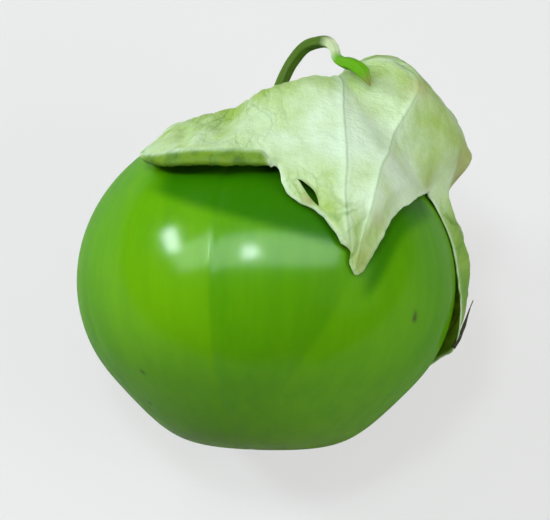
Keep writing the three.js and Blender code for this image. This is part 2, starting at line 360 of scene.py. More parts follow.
def angles(towards):
    azimuth = np.degrees(np.arctan2(towards[..., 0], -towards[..., 1]))
    polar = np.degrees(np.arccos(np.clip(towards[..., 2], -1, 1)))
    return azimuth, polar


def apart(towards, azimuth, polar):
    """Degrees between each direction and one place."""
    return np.degrees(np.arccos(np.clip(towards @ direction(azimuth, polar), -1, 1)))


def about_berry_axis(towards):
    turn = np.array(Matrix.Rotation(math.radians(-BERRY_TILT), 3, "Y"))
    return angles(towards @ turn.T)


def berry_radius(towards):
    settings = bpy.context.scene.tomatillo_berry
    azimuth, polar = about_berry_axis(towards)
    p = np.radians(polar)
    radius = 1 / np.hypot(np.sin(p) / settings.radius, np.cos(p) / settings.half_height)
    for middle, height, reach in BERRY_RINGS:
        radius = radius + height * bell(polar - middle, reach)
    for start, slant, depth, reach in FURROWS:
        turn = (azimuth - start - slant * (polar - 90) + 180) % 360 - 180
        radius = radius - depth * bell(turn, reach) * np.sin(p) ** 2
    return radius


def to_row():
    """The turn and move that lay the upright berry on its flat, in the row's own frame."""
    down = direction(180, 180 - LEAN_BACK)
    towards = direction(180, np.arange(90, 180, 0.25))
    skin = towards * berry_radius(towards)[:, None]
    lowest = skin[np.argmax(skin @ down)]
    rest = Vector(lowest - REST_FLAT_DEPTH * down)
    return Matrix.Rotation(math.radians(-LEAN_BACK), 4, "X") @ Matrix.Translation(-rest)


# ---------------------------------------------------------------- making pieces


def connect(tree, node, inputs):
    """Sets a node's inputs. Each takes a value, a socket or another node's first output."""
    for key, value in inputs.items():
        if isinstance(value, bpy.types.Node):
            value = next(output for output in value.outputs if output.enabled)
        if isinstance(value, bpy.types.NodeSocket):
            tree.links.new(value, node.inputs[key])
        else:
            node.inputs[key].default_value = value


def add(tree, kind, inputs=None, **settings):
    """Adds a node with its settings and inputs."""
    node = tree.nodes.new(kind)
    for name, value in settings.items():
        setattr(node, name, value)
    connect(tree, node, inputs or {})
    return node


def layered(tree, ground, layers):
    """A colour with others laid over it in turn, each given with the share of it that shows."""
    colour = ground if isinstance(ground, bpy.types.NodeSocket) else (*ground, 1)
    for share, over in layers:
        mix = add(
            tree, "ShaderNodeMix", {"Factor": share, 6: colour, 7: (*over, 1)}, data_type="RGBA"
        )
        colour = mix.outputs[2]
    return colour


def new_tree(name, **labels):
    """A geometry tree with the labelled inputs, given as their kind and its labels."""
    tree = bpy.data.node_groups.new(name, "GeometryNodeTree")
    tree.interface.new_socket("Geometry", in_out="OUTPUT", socket_type="NodeSocketGeometry")
    for kind, names in {"Geometry": ["Geometry"], **labels, "Material": ["Material"]}.items():
        for label in names:
            tree.interface.new_socket(label, in_out="INPUT", socket_type=f"NodeSocket{kind}")
    return tree, add(tree, "NodeGroupInput").outputs


def finish_tree(tree, geometry, material):
    """Ends a geometry tree with real faces in the piece's material."""
    real = add(tree, "GeometryNodeRealizeInstances", {"Geometry": geometry})
    dressed = add(tree, "GeometryNodeSetMaterial", {"Geometry": real, "Material": material})
    add(tree, "NodeGroupOutput", {"Geometry": dressed})
    return tree


def push_out(tree, geometry, height):
    """Moves a surface out along its normals."""
    normal = add(tree, "GeometryNodeInputNormal")
    moved = add(tree, "ShaderNodeVectorMath", {0: normal, "Scale": height}, operation="SCALE")
    return add(tree, "GeometryNodeSetPosition", {"Geometry": geometry, "Offset": moved})


def new_material(name, *marks):
    """A material, its tree, and the marks and maps painted on the mesh for it."""
    material = bpy.data.materials.new(name)
    material.use_nodes = True
    tree = material.node_tree
    painted = {}
    for mark in marks:
        read = add(tree, "ShaderNodeAttribute", attribute_name=mark).outputs
        painted[mark] = read["Vector" if mark.endswith("_map") else "Fac"]
    return material, tree, painted


def finish_material(material, inputs):
    """Sets or links the inputs of a material's own shader."""
    tree = material.node_tree
    connect(tree, tree.nodes["Principled BSDF"], inputs)
    return material


def plain_mesh(piece):
    """Turns what a piece's modifiers make into its plain mesh, and removes them."""
    evaluated = piece.evaluated_get(bpy.context.evaluated_depsgraph_get())
    finished = bpy.data.meshes.new_from_object(evaluated)
    piece.modifiers.clear()
    piece.data = finished
    if not len(finished.polygons):
        raise RuntimeError(f"{piece.name} came out with no faces")


def grow(mesh, tree, settings, material):
    """A piece that a geometry tree makes from a mesh, with its inputs from the settings of the same
    names."""
    piece = bpy.data.objects.new(mesh.name, mesh)
    bpy.context.scene.collection.objects.link(piece)
    modifier = piece.modifiers.new(tree.name, "NODES")
    modifier.node_group = tree
    for item in tree.interface.items_tree:
        if item.name == "Material":
            modifier[item.identifier] = material
        elif item.name != "Geometry":
            setting = item.name.lower().replace(" ", "_")
            modifier[item.identifier] = getattr(settings, setting)
    plain_mesh(piece)
    return piece


def points_of(mesh):
    flat = np.empty(len(mesh.vertices) * 3)
    mesh.vertices.foreach_get("co", flat)
    return flat.reshape(-1, 3)


def paint(mesh, name, values):
    """Stores a number or a vector for each point, for a material to read."""
    vectors = np.ndim(values) == 2
    kind, field = ("FLOAT_VECTOR", "vector") if vectors else ("FLOAT", "value")
    attribute = mesh.attributes.new(name, kind, "POINT")
    attribute.data.foreach_set(field, np.asarray(values, np.float32).ravel())


def settle(piece, node):
    piece.data.transform(to_row())
    piece.data.shade_smooth()
    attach(piece, "root")
    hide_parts(node)


# ---------------------------------------------------------------- the berry


def bell_nodes(tree, distance, reach):
    """The same bell as the function, made of nodes."""
    share = add(tree, MATH, {0: distance, 1: float(reach)}, operation="DIVIDE")
    square = add(tree, MATH, {0: share, 1: share}, operation="MULTIPLY")
    fallen = add(tree, MATH, {0: square, 1: -1.0}, operation="MULTIPLY")
    return add(tree, MATH, {0: fallen}, operation="EXPONENT")


def berry_tree():
    """A sphere whose points move to the berry's radius, reckoned about the berry's own axis."""
    tree, given = new_tree(
        "Berry form", Float=("Radius", "Half Height", "Furrow Depth"), Int=("Segments", "Rings")
    )
    sphere = add(
        tree,
        "GeometryNodeMeshUVSphere",
        {"Segments": given["Segments"], "Rings": given["Rings"], "Radius": 1.0},
    )
    place = add(tree, "ShaderNodeSeparateXYZ", {0: add(tree, "GeometryNodeInputPosition")}).outputs
    # The rings crowd towards the poles, where the scar and the stalk's dip are small.
    even = add(tree, MATH, {0: place["Z"]}, operation="ARCCOSINE")
    doubled = add(tree, MATH, {0: even, 1: 2.0}, operation="MULTIPLY")
    wave = add(tree, MATH, {0: doubled}, operation="SINE")
    polar = add(tree, MATH, {0: wave, 1: -0.25, 2: even}, operation="MULTIPLY_ADD")
    sine, cosine = (add(tree, MATH, {0: polar}, operation=kind) for kind in ("SINE", "COSINE"))
    across = add(tree, MATH, {0: sine, 1: given["Radius"]}, operation="DIVIDE")
    along = add(tree, MATH, {0: cosine, 1: given["Half Height"]}, operation="DIVIDE")
    across = add(tree, MATH, {0: across, 1: across}, operation="MULTIPLY")
    square = add(tree, MATH, {0: along, 1: along, 2: across}, operation="MULTIPLY_ADD")
    radius = add(tree, MATH, {0: square}, operation="INVERSE_SQRT")
    polar_degrees = add(tree, MATH, {0: polar}, operation="DEGREES")
    for middle, height, reach in BERRY_RINGS + SCAR_RINGS:
        distance = add(tree, MATH, {0: polar_degrees, 1: float(middle)}, operation="SUBTRACT")
        ring = bell_nodes(tree, distance, reach)
        radius = add(tree, MATH, {0: ring, 1: height, 2: radius}, operation="MULTIPLY_ADD")
    forwards = add(tree, MATH, {0: place["Y"], 1: -1.0}, operation="MULTIPLY")
    azimuth = add(tree, MATH, {0: place["X"], 1: forwards}, operation="ARCTAN2")
    azimuth = add(tree, MATH, {0: azimuth}, operation="DEGREES")
    from_equator = add(tree, MATH, {0: polar_degrees, 1: 90.0}, operation="SUBTRACT")
    sine_square = add(tree, MATH, {0: sine, 1: sine}, operation="MULTIPLY")
    depth_share = add(tree, MATH, {0: sine_square, 1: given["Furrow Depth"]}, operation="MULTIPLY")
    for start, slant, depth, reach in FURROWS + CREASES:
        middle = add(
            tree, MATH, {0: from_equator, 1: slant, 2: float(start)}, operation="MULTIPLY_ADD"
        )
        turn = add(tree, MATH, {0: azimuth, 1: middle}, operation="SUBTRACT")
        turn = add(tree, MATH, {0: turn, 1: 180.0, 2: -180.0}, operation="WRAP")
        furrow = bell_nodes(tree, turn, reach)
        furrow = add(tree, MATH, {0: furrow, 1: depth_share}, operation="MULTIPLY")
        radius = add(tree, MATH, {0: furrow, 1: -depth, 2: radius}, operation="MULTIPLY_ADD")
    turned = add(tree, MATH, {0: azimuth}, operation="RADIANS")
    outwards = add(tree, MATH, {0: sine, 1: radius}, operation="MULTIPLY")
    sideways, facing = (
        add(tree, MATH, {0: turned}, operation=kind) for kind in ("SINE", "COSINE")
    )
    backwards = add(tree, MATH, {0: outwards, 1: -1.0}, operation="MULTIPLY")
    moved = add(
        tree,
        "ShaderNodeCombineXYZ",
        {
            "X": add(tree, MATH, {0: outwards, 1: sideways}, operation="MULTIPLY"),
            "Y": add(tree, MATH, {0: backwards, 1: facing}, operation="MULTIPLY"),
            "Z": add(tree, MATH, {0: cosine, 1: radius}, operation="MULTIPLY"),
        },
    )
    leaned = add(
        tree,
        "ShaderNodeVectorRotate",
        {"Vector": moved, "Angle": math.radians(BERRY_TILT)},
        rotation_type="Y_AXIS",
    )
    shaped = add(
        tree, "GeometryNodeSetPosition", {"Geometry": sphere.outputs["Mesh"], "Position": leaned}
    )
    return finish_tree(tree, shaped, given["Material"])


def berry_skin(settings):
    """Waxy skin of a fresh green berry: a thin clear cuticle over wet flesh, so that lamps show
    sharply in it, light sinks a millimetre or two below it, and faint streaks run down it."""
    names = ("skin_map", "base", "deep", "scar", "sunny")
    material, tree, marks = new_material("waxy_berry_skin", *names)
    place = add(tree, "ShaderNodeTexCoord").outputs["Object"]
    # Streaks about 2 mm wide at the berry's middle, eight times as long.
    streaks = add(
        tree,
        "ShaderNodeTexNoise",
        {"Vector": marks["skin_map"], "Scale": 12.0, "Detail": 3.0, "Roughness": 0.55},
    )
    patches = add(tree, "ShaderNodeTexNoise", {"Vector": place, "Scale": 45.0, "Detail": 2.0})
    both = add(tree, MATH, {0: streaks, 1: patches}, operation="MULTIPLY")
    streaked = add(
        tree,
        "ShaderNodeMapRange",
        {"Value": both, "From Min": 0.15, "From Max": 0.4, "To Max": 0.35},
    )
    # Painted light: brighter patches beside a furrow are laid on the skin's streaks, and both take
    # the bright colour.
    bright = add(tree, MATH, {0: streaked, 1: marks["sunny"]}, operation="ADD", use_clamp=True)
    layers = (
        (bright, settings.bright),
        (marks["base"], settings.base),
        # Painted shade: the darker green where the husk's shadow falls on the skin.
        (marks["deep"], settings.deep),
        (marks["scar"], settings.scar),
    )
    roughness = add(
        tree, "ShaderNodeMapRange", {"Value": marks["scar"], "To Min": 0.46, "To Max": 0.75}
    )
    # Pores of the cuticle, about 0.4 mm across, barely proud.
    pores = add(tree, "ShaderNodeTexNoise", {"Vector": place, "Scale": 1200.0, "Detail": 2.0})
    bump = add(tree, "ShaderNodeBump", {"Height": pores, "Strength": 0.06, "Distance": 0.05 * MM})
    # All of the shine is the cuticle's. The flesh below it has none.
    return finish_material(
        material,
        {
            "Base Color": layered(tree, settings.skin, layers),
            "Roughness": roughness,
            "Normal": bump,
            "IOR": 1.34,
            "Specular IOR Level": 0.0,
            "Coat Weight": 0.32,
            "Coat Roughness": 0.18,
            "Coat IOR": 1.6,
            "Subsurface Weight": 0.12,
            "Subsurface Radius": (0.6, 1.0, 0.25),
            "Subsurface Scale": 2 * MM,
        },
    )


def painted_husk_shadow(towards):
    """Painted shade: where the skin is painted darker for the husk's shadow, under the left wing down
    to a slanting line, and along the right side of the front lobe."""
    azimuth, polar = angles(towards)
    under_wing = 1 - smoothstep(polar - 0.28 * azimuth, 71, 75)
    under_wing *= band(azimuth, *UNDER_WING)
    from_edge = gap(towards, curve_through(EDGE, 2 * FINE, True))
    by_lobe = 1 - smoothstep(from_edge, 2.2 * MM, 3.8 * MM)
    by_lobe *= band(azimuth, *BESIDE_LOBE)
    return 0.9 * np.maximum(under_wing, 0.85 * by_lobe)


def paint_berry(mesh, settings):
    """Paints where the skin is olive and where dry, and the painted shade and painted light that make
    it dark or bright.
    """
    towards = unit(points_of(mesh))
    azimuth, polar = about_berry_axis(towards)
    paint(mesh, "skin_map", direction(azimuth, polar) * (1, 1, 0.12))
    paint(mesh, "base", 0.75 * bell(polar - 180, 34) * (1 - 0.4 * bell(polar - 180, 8)))
    scar = bell(polar - 180, 2.4, 4)
    for place, angle, size in SPECKS:
        reach = math.degrees(size / settings.radius)
        scar = np.maximum(scar, bell(apart(towards, place, angle), reach, 4))
    paint(mesh, "scar", scar)
    paint(mesh, "deep", painted_husk_shadow(towards))
    # Painted light: the skin is painted brighter on either side of a furrow, to its left, then its
    # right.
    left = band(azimuth, *LEFT_OF_FURROW)
    beyond = azimuth - 24 + 0.5 * (polar - 90)
    right = smoothstep(beyond, -1, 1.5) * (1 - smoothstep(azimuth, 45, 64))
    left = 0.6 * left * bell(polar - 98, 26)
    right = 0.3 * right * bell(polar - 104, 24)
    paint(mesh, "sunny", left + right)


class TOMATILLO_OT_berry(bpy.types.Operator):
    """Makes the berry, with its furrows, blossom scar and the flat that it lies on"""

    bl_idname = "tomatillo.berry"
    bl_label = "Berry"

    def execute(self, context):
        settings = context.scene.tomatillo_berry
        piece = grow(bpy.data.meshes.new("berry"), berry_tree(), settings, berry_skin(settings))
        mesh = piece.data
        paint_berry(mesh, settings)
        settle(piece, "fruit")
        points = points_of(mesh)
        # Pressed flat where it lies.
        height = points[:, 2]
        points[:, 2] = (height + np.hypot(height, REST_FLAT_TURN)) / 2
        mesh.vertices.foreach_set("co", points.ravel())
        mesh.update()
        return {"FINISHED"}


# ---------------------------------------------------------------- the husk


def to_plane(towards):
    """Directions on a plane that keeps small shapes true, with the crown at its middle."""
    return towards[..., :2] / (1 + towards[..., 2:])


def from_plane(flat):
    square = (flat**2).sum(axis=-1, keepdims=True)
    return np.concatenate([2 * flat, 1 - square], axis=-1) / (1 + square)


def curve_through(places, spacing, closed):
    """Directions along a smooth curve through places, about spacing radians apart."""
    knots = to_plane(direction(*np.array(places, float).T))
    count = len(knots)
    if closed:
        order = [[(i + step) % count for step in (-1, 0, 1, 2)] for i in range(count)]
    else:
        order = [
            [min(max(i + step, 0), count - 1) for step in (-1, 0, 1, 2)] for i in range(count - 1)
        ]
    samples = []
    for row in order:
        before, start, end, after = knots[row]
        chord = np.linalg.norm(end - start)
        leave = (end - before) * chord / (np.linalg.norm(start - before) + chord)
        arrive = (after - start) * chord / (np.linalg.norm(after - end) + chord)
        angle = 2 * chord / (1 + (start**2).sum())
        steps = max(1, round(angle / spacing))
        share = np.arange(steps)[:, None] / steps
        samples.append(
            start * (1 + 2 * share) * (1 - share) ** 2
            + leave * share * (1 - share) ** 2
            + end * share**2 * (3 - 2 * share)
            + arrive * share**2 * (share - 1)
        )
    if not closed:
        samples.append(knots[-1:])
    return from_plane(np.concatenate(samples))


def noise_at(places, wavelength, seed):
    """Smooth noise from -1 to 1 at places in metres."""
    shift = Vector((seed * 7.3, seed * 3.1, seed * 5.7))
    return np.array([noise.noise(Vector(place) / wavelength + shift) for place in places])


def search_tree(places):
    tree = KDTree(len(places))
    for index, place in enumerate(places):
        tree.insert(place, index)
    tree.balance()
    return tree


def nearest(towards, targets):
    """The index of the closest target to each direction, and the distance to it in radians."""
    tree = search_tree(targets)
    found = [tree.find(place) for place in towards]
    return np.array([row[1] for row in found]), np.array([row[2] for row in found])


def gap(towards, line):
    """How far each direction is from a line on the sheet, in metres."""
    return nearest(towards, line)[1] * HUSK_RADIUS


def clear_of(towards, others, least):
    """The directions that are more than the least angle from all of the others."""
    return towards[nearest(towards, others)[1] > least]


def inside(towards, loop):
    """Which directions lie within a closed loop of directions."""
    x, y = to_plane(towards).T
    flat = to_plane(loop)
    within = np.zeros(len(x), bool)
    for (x0, y0), (x1, y1) in zip(flat, np.roll(flat, -1, axis=0)):
        if y0 != y1:
            crossing = (y0 > y) != (y1 > y)
            within ^= crossing & (x < x0 + (y - y0) * (x1 - x0) / (y1 - y0))
    return within


def torn_edge(spacing):
    """The free edge, ragged and nicked where the sheet tore."""
    edge = curve_through(EDGE, spacing, True)
    places = edge * HUSK_RADIUS
    ragged = sum(
        height * noise_at(places, length * MM, seed)
        for seed, (height, length) in enumerate(EDGE_WAVES, 1)
    )
    nicks = np.clip(noise_at(places, 2.3 * MM, 3) - 0.32, 0, 1) * -1.1
    return beside(edge, (ragged + nicks)[:, None] * MM / HUSK_RADIUS)


def rib_lines(spacing):
    """Each rib as how proud it stands and closely spaced directions."""
    return [(strength, curve_through(places, spacing, False)) for strength, places in RIBS]


def outward(line):
    """The direction across a line at each of its points, away from the crown on a line that runs
    to the right."""
    return unit(np.cross(np.gradient(line, axis=0), line))


def beside(line, offset):
    """A line of directions moved across itself by an angle, or by one for each point."""
    return unit(line + outward(line) * offset)


def hem_rows(spacing):
    """Rows of points close together along the hem's fold, so that it comes out round."""
    line = curve_through(HEM_LINE, 0.7 * spacing, False)
    offsets = np.arange(-0.8, math.pi + 1, 0.42) * HEM_FOLD / HUSK_RADIUS
    return np.concatenate([beside(line, offset) for offset in offsets])


def thinned(places, least):
    """The places, less any that is closer than the least distance to an earlier one."""
    tree = search_tree(places)
    kept = [
        index
        for index, place in enumerate(places)
        if not any(found < index for _, found, _ in tree.find_range(place, least))
    ]
    return places[kept]


def even_spread(spacing):
    """Directions spread evenly along a spiral, over all that the husk might cover."""
    count = int(4 * math.pi / (0.866 * spacing**2))
    index = np.arange(count)
    height = 1 - (2 * index + 1) / count
    turn = index * math.pi * (3 - math.sqrt(5))
    reach = np.sqrt(1 - height**2)
    spiral = np.stack([reach * np.cos(turn), reach * np.sin(turn), height], axis=1)
    return spiral[height > math.cos(math.radians(HUSK_END))]


def on_sheet(towards, edge, tear):
    return inside(towards, edge) & ~inside(towards, tear)


def husk_pattern(spacing):
    """The sheet's points as directions, and its triangles, with rows of points along the ribs."""
    edge = torn_edge(0.8 * spacing)
    tear = curve_through(TEAR, 0.8 * spacing, True)
    rims = np.concatenate([edge, tear])
    rows = [
        beside(line, offset * MM / HUSK_RADIUS)
        for _, line in rib_lines(spacing)
        for offset in RIB_ROWS
    ]
    rows = thinned(np.concatenate(rows), GAPS["ribs"] * spacing)
    hem = hem_rows(spacing)
    rows = clear_of(rows, hem, GAPS["hem"] * spacing)
    fill = clear_of(even_spread(spacing), np.concatenate([rows, hem]), GAPS["fill"] * spacing)
    points = clear_of(np.concatenate([rows, fill]), rims, GAPS["rims"] * spacing)
    points = np.concatenate([points, clear_of(hem, rims, GAPS["hem to rims"] * spacing)])
    points = np.concatenate([rims, points[on_sheet(points, edge, tear)]])
    borders = [
        (start + i, start + (i + 1) % count)
        for start, count in ((0, len(edge)), (len(edge), len(tear)))
        for i in range(count)
    ]
    flat = [Vector(place) for place in to_plane(points)]
    flat, _, faces, *_ = delaunay_2d_cdt(flat, borders, [], 0, 1e-7)
    points = from_plane(np.array(flat))
    faces = np.array(faces)
    faces = faces[on_sheet(unit(points[faces].mean(axis=1)), edge, tear)]
    used, faces = np.unique(faces, return_inverse=True)
    return points[used], faces.reshape(-1, 3)


def line_marks(towards, lines, reach):
    """How near each direction is to weighted lines: 1 on a line of weight 1, nothing far away."""
    marks = np.zeros(len(towards))
    for weight, line in lines:
        marks = np.maximum(marks, weight * bell(gap(towards, line), reach))
    return marks


def husk_relief(towards, settings):
    """Ribs, each a low ridge with a groove along it, and the sharp crests and creases."""
    ribs = rib_lines(FINE)
    relief = settings.rib_height * line_marks(towards, ribs, RIB_WIDTH)
    relief -= 0.45 * settings.rib_height * line_marks(towards, ribs, RIB_GROOVE)
    for height, reach, places in CRESTS:
        relief += height * bell(gap(towards, curve_through(places, FINE, False)), reach, 1)
    for depth, reach, places in CREASES_IN:
        relief -= depth * bell(gap(towards, curve_through(places, FINE, False)), reach)
    return relief


def husk_lift(towards, settings):
    """How far the sheet's outer face stands off the berry, but for its rims and its folded hem."""
    azimuth, polar = angles(towards)
    freedom = smoothstep(about_berry_axis(towards)[1], CROWN_TIED, CROWN_FREE)
    swell = np.zeros(len(towards))
    for at_azimuth, at_polar, height, reach, power in SWELLS:
        swell += height * bell(apart(towards, at_azimuth, at_polar), reach, power)
    places = towards * HUSK_RADIUS
    folds = FOLD_HEIGHT * noise_at(places, FOLD_LENGTH, 4)
    pleats = PLEAT_HEIGHT * np.cos(np.radians(azimuth * CROWN_PLEATS + 20)) * bell(polar - 13, 9)
    a, p = np.radians(azimuth), np.radians(polar)
    # The larger creases run from the crown towards the tips.
    streaming = np.stack([np.cos(a) * 18, np.sin(a) * 18, p * 8], axis=1) * MM
    crumpled = 1 - 0.5 * strongest(towards, PALE_PLACES)
    creases = (settings.crinkle * crumpled) * (
        np.abs(noise_at(streaming, 2.6 * MM, 5)) * -1.6 + 0.6 * noise_at(places, 1.7 * MM, 6)
    )
    lift = HUSK_STAND_OFF + swell * freedom + folds * freedom + pleats + creases
    # The ribs and the shoulder's corner stay within the solid's outer face.
    inward = settings.rib_height + 0.2 * MM * bell(apart(towards, *SHOULDER_CORNER), 6)
    return lift + husk_relief(towards, settings) - inward


def at_rims(lift, rim, distance):
    """Draws the lift near the rims to the heights that they stand at."""
    weights = [bell(apart(rim, azimuth, polar), reach) for azimuth, polar, reach, _ in RIM_HEIGHTS]
    heights = np.array([height for *_, height in RIM_HEIGHTS])
    total = np.sum(weights, axis=0)
    height = heights @ np.array(weights) / np.maximum(total, 1e-6)
    hug = np.clip(total, 0, 1) * (1 - smoothstep(distance, 0, RIM_HUG))
    return lift + hug * (height - lift)


def husk_places(towards, settings):
    """Where the sheet's points are, upright, with the left wing's hem turned up, and how far each
    is from the rim."""
    fold = curve_through(HEM_LINE, FINE, False)
    index, _ = nearest(towards, fold)
    out = outward(fold)[index]
    past = ((towards - fold[index]) * out).sum(axis=1) * HUSK_RADIUS
    azimuth, _ = angles(towards)
    is_hem = band(azimuth, *HEM_BAND)
    back = np.clip(past, 0, None) * is_hem
    out = unit(out - towards * (out * towards).sum(axis=1, keepdims=True))
    # What is folded up stands over the paper on the other side of the fold.
    turn = (back / HUSK_RADIUS)[:, None]
    base = towards * np.cos(turn) - out * np.sin(turn)
    edge = curve_through(EDGE, FINE, True)
    index, distance = nearest(towards, edge)
    distance = distance * HUSK_RADIUS
    lift = at_rims(husk_lift(base, settings), edge[index], distance)
    lift = np.maximum(lift, settings.thickness + HUSK_CLEARANCE)
    places = base * (berry_radius(base) + lift)[:, None]
    # It goes up round the fold and back over the paper beyond.
    bent = np.minimum(back / HEM_FOLD, math.pi)[:, None]
    beyond = np.clip(back - math.pi * HEM_FOLD, 0, None)[:, None]
    places += out * (HEM_FOLD * np.sin(bent) - beyond)
    places += base * (HEM_FOLD * (1 - np.cos(bent)) + 0.05 * beyond)
    return places, distance


def shred_strip():
    """The dried shred as a narrow, cupped strip: its points, upright, and its faces."""
    line = np.array(SHRED) * MM
    facing = (0.35, 1.0, 0.0)
    steps, across = 24, 5
    where = np.linspace(0, len(line) - 1, steps)
    middle = np.stack([np.interp(where, np.arange(len(line)), axis) for axis in line.T], axis=1)
    for _ in range(3):
        middle[1:-1] = (middle[:-2] + 2 * middle[1:-1] + middle[2:]) / 4
    along = unit(np.gradient(middle, axis=0))
    sideways = unit(np.cross(along, facing))
    outwards = np.cross(sideways, along)
    share = np.linspace(0, 1, steps)
    wobble = 1 + 0.35 * noise_at(middle, 1.3 * MM, 12)
    half = SHRED_HALF_WIDTH * (1 - share**1.6 * 0.95) * wobble
    points = []
    for side in np.linspace(-1, 1, across):
        cup = 0.35 * (side**2 - 1)
        points.append(middle + sideways * (half * side)[:, None] + outwards * (half * cup)[:, None])
    points = np.concatenate(points)
    starts = [c * steps + r for c in range(across - 1) for r in range(steps - 1)]
    corners = [(start, start + steps) for start in starts]
    faces = [(a, a + 1, b + 1) for a, b in corners] + [(a, b + 1, b) for a, b in corners]
    return points, np.array(faces)


def strongest(towards, spots):
    """The strongest of some soft spots at each direction."""
    most = np.zeros(len(towards))
    for azimuth, polar, reach, strength in spots:
        most = np.maximum(most, strength * bell(apart(towards, azimuth, polar), reach))
    return most


def vein_cells(tree, vein_map):
    """How far from the veins a place is, for each net, bent by noise so that no vein is straight."""
    bend = add(
        tree, "ShaderNodeTexNoise", {"Vector": vein_map, "Scale": 300.0, "Detail": 3.0}
    ).outputs["Color"]
    bent = add(
        tree,
        "ShaderNodeVectorMath",
        {0: bend, 1: (3.4 * MM,) * 3, 2: vein_map},
        operation="MULTIPLY_ADD",
    )
    return [
        add(
            tree, "ShaderNodeTexVoronoi", {"Vector": bent, "Scale": scale}, feature="DISTANCE_TO_EDGE"
        )
        for scale in VEIN_NETS
    ]


def quilting_tree():
    """The sheet bulging between its veins, less where it is bleached."""
    tree, given = new_tree("Husk quilting", Float=["Puff"])
    vein_map = add(
        tree, "GeometryNodeInputNamedAttribute", {"Name": "vein_map"}, data_type="FLOAT_VECTOR"
    )
    quilted = add(tree, "GeometryNodeInputNamedAttribute", {"Name": "quilted"}, data_type="FLOAT")
    puff = 0.0
    for cells, width, share in zip(vein_cells(tree, vein_map), (0.35, 0.4), (1.0, 0.3)):
        bulge = add(
            tree,
            "ShaderNodeMapRange",
            {"Value": cells, "From Max": width, "To Min": -0.65 * share, "To Max": 0.35 * share},
            interpolation_type="SMOOTHSTEP",
        )
        puff = add(tree, MATH, {0: puff, 1: bulge}, operation="ADD")
    puff = add(tree, MATH, {0: puff, 1: given["Puff"]}, operation="MULTIPLY")
    puff = add(tree, MATH, {0: puff, 1: quilted}, operation="MULTIPLY")
    return finish_tree(tree, push_out(tree, given["Geometry"], puff), given["Material"])


def husk_paper(settings):
    """Dry calyx of a tomatillo: paper a fifth of a millimetre thick, so it is matte and lets some
    light through; its ribs and net of veins stay greener than the bleached panels between."""
    names = ("vein_map", "rib", "beside_rib", "dry", "fresh", "edge", "dead")
    material, tree, marks = new_material("dry_papery_husk", *names)
    place = add(tree, "ShaderNodeTexCoord").outputs["Object"]
    mottle = add(
        tree,
        "ShaderNodeTexNoise",
        {"Vector": place, "Scale": 210.0, "Detail": 5.0, "Roughness": 0.65},
    )
    blotched = add(tree, MATH, {0: mottle, 1: 1.35, 2: -0.68}, operation="MULTIPLY_ADD")
    fresh = add(tree, MATH, {0: blotched, 1: marks["fresh"]}, operation="ADD", use_clamp=True)
    # The net fades where the paper is bleached.
    wide, fine = (
        add(
            tree,
            "ShaderNodeMapRange",
            {"Value": cells, "From Max": width, "To Min": 1.0, "To Max": 0.0},
            interpolation_type="SMOOTHSTEP",
        )
        for cells, width in zip(vein_cells(tree, marks["vein_map"]), VEIN_WIDTHS)
    )
    net = add(tree, MATH, {0: fine, 1: 0.5, 2: wide}, operation="MULTIPLY_ADD")
    patches = add(tree, "ShaderNodeTexNoise", {"Vector": place, "Scale": 120.0, "Detail": 2.0})
    patchy = add(
        tree,
        "ShaderNodeMapRange",
        {"Value": patches, "From Min": 0.34, "From Max": 0.62, "To Min": 0.1, "To Max": 0.85},
    )
    shown = add(
        tree, MATH, {0: marks["fresh"], 1: 1.3, 2: -0.42}, operation="MULTIPLY_ADD", use_clamp=True
    )
    patchy = add(tree, MATH, {0: patchy, 1: shown}, operation="MULTIPLY")
    net = add(tree, MATH, {0: net, 1: patchy}, operation="MULTIPLY")
    veins = add(tree, MATH, {0: marks["rib"], 1: 0.5, 2: net}, operation="MULTIPLY_ADD")
    veins_share = add(tree, MATH, {0: veins, 1: 0.8}, operation="MULTIPLY", use_clamp=True)
    layers = (
        (fresh, settings.fresh),
        (marks["beside_rib"], settings.pale),
        (veins_share, settings.vein),
        (marks["dry"], settings.dry),
        (marks["edge"], settings.pale),
        (marks["dead"], settings.dead),
    )
    # Puckers between the veins, about a millimetre across, and fibres about 0.3 mm apart.
    puckers = add(
        tree, "ShaderNodeTexNoise", {"Vector": place, "Scale": 800.0, "Detail": 4.0, "Roughness": 0.7}
    )
    relief = add(tree, MATH, {0: puckers, 1: 1.3, 2: veins}, operation="MULTIPLY_ADD")
    bump = add(tree, "ShaderNodeBump", {"Height": relief, "Strength": 0.6, "Distance": 0.25 * MM})
    return finish_material(
        material,
        {
            "Base Color": layered(tree, settings.pale, layers),
            "Normal": bump,
            "Roughness": 0.5,
            "Specular IOR Level": 0.22,
            "Subsurface Weight": 0.25,
            "Subsurface Radius": (1.0, 1.0, 0.6),
            "Subsurface Scale": 1.0 * MM,
        },
    )


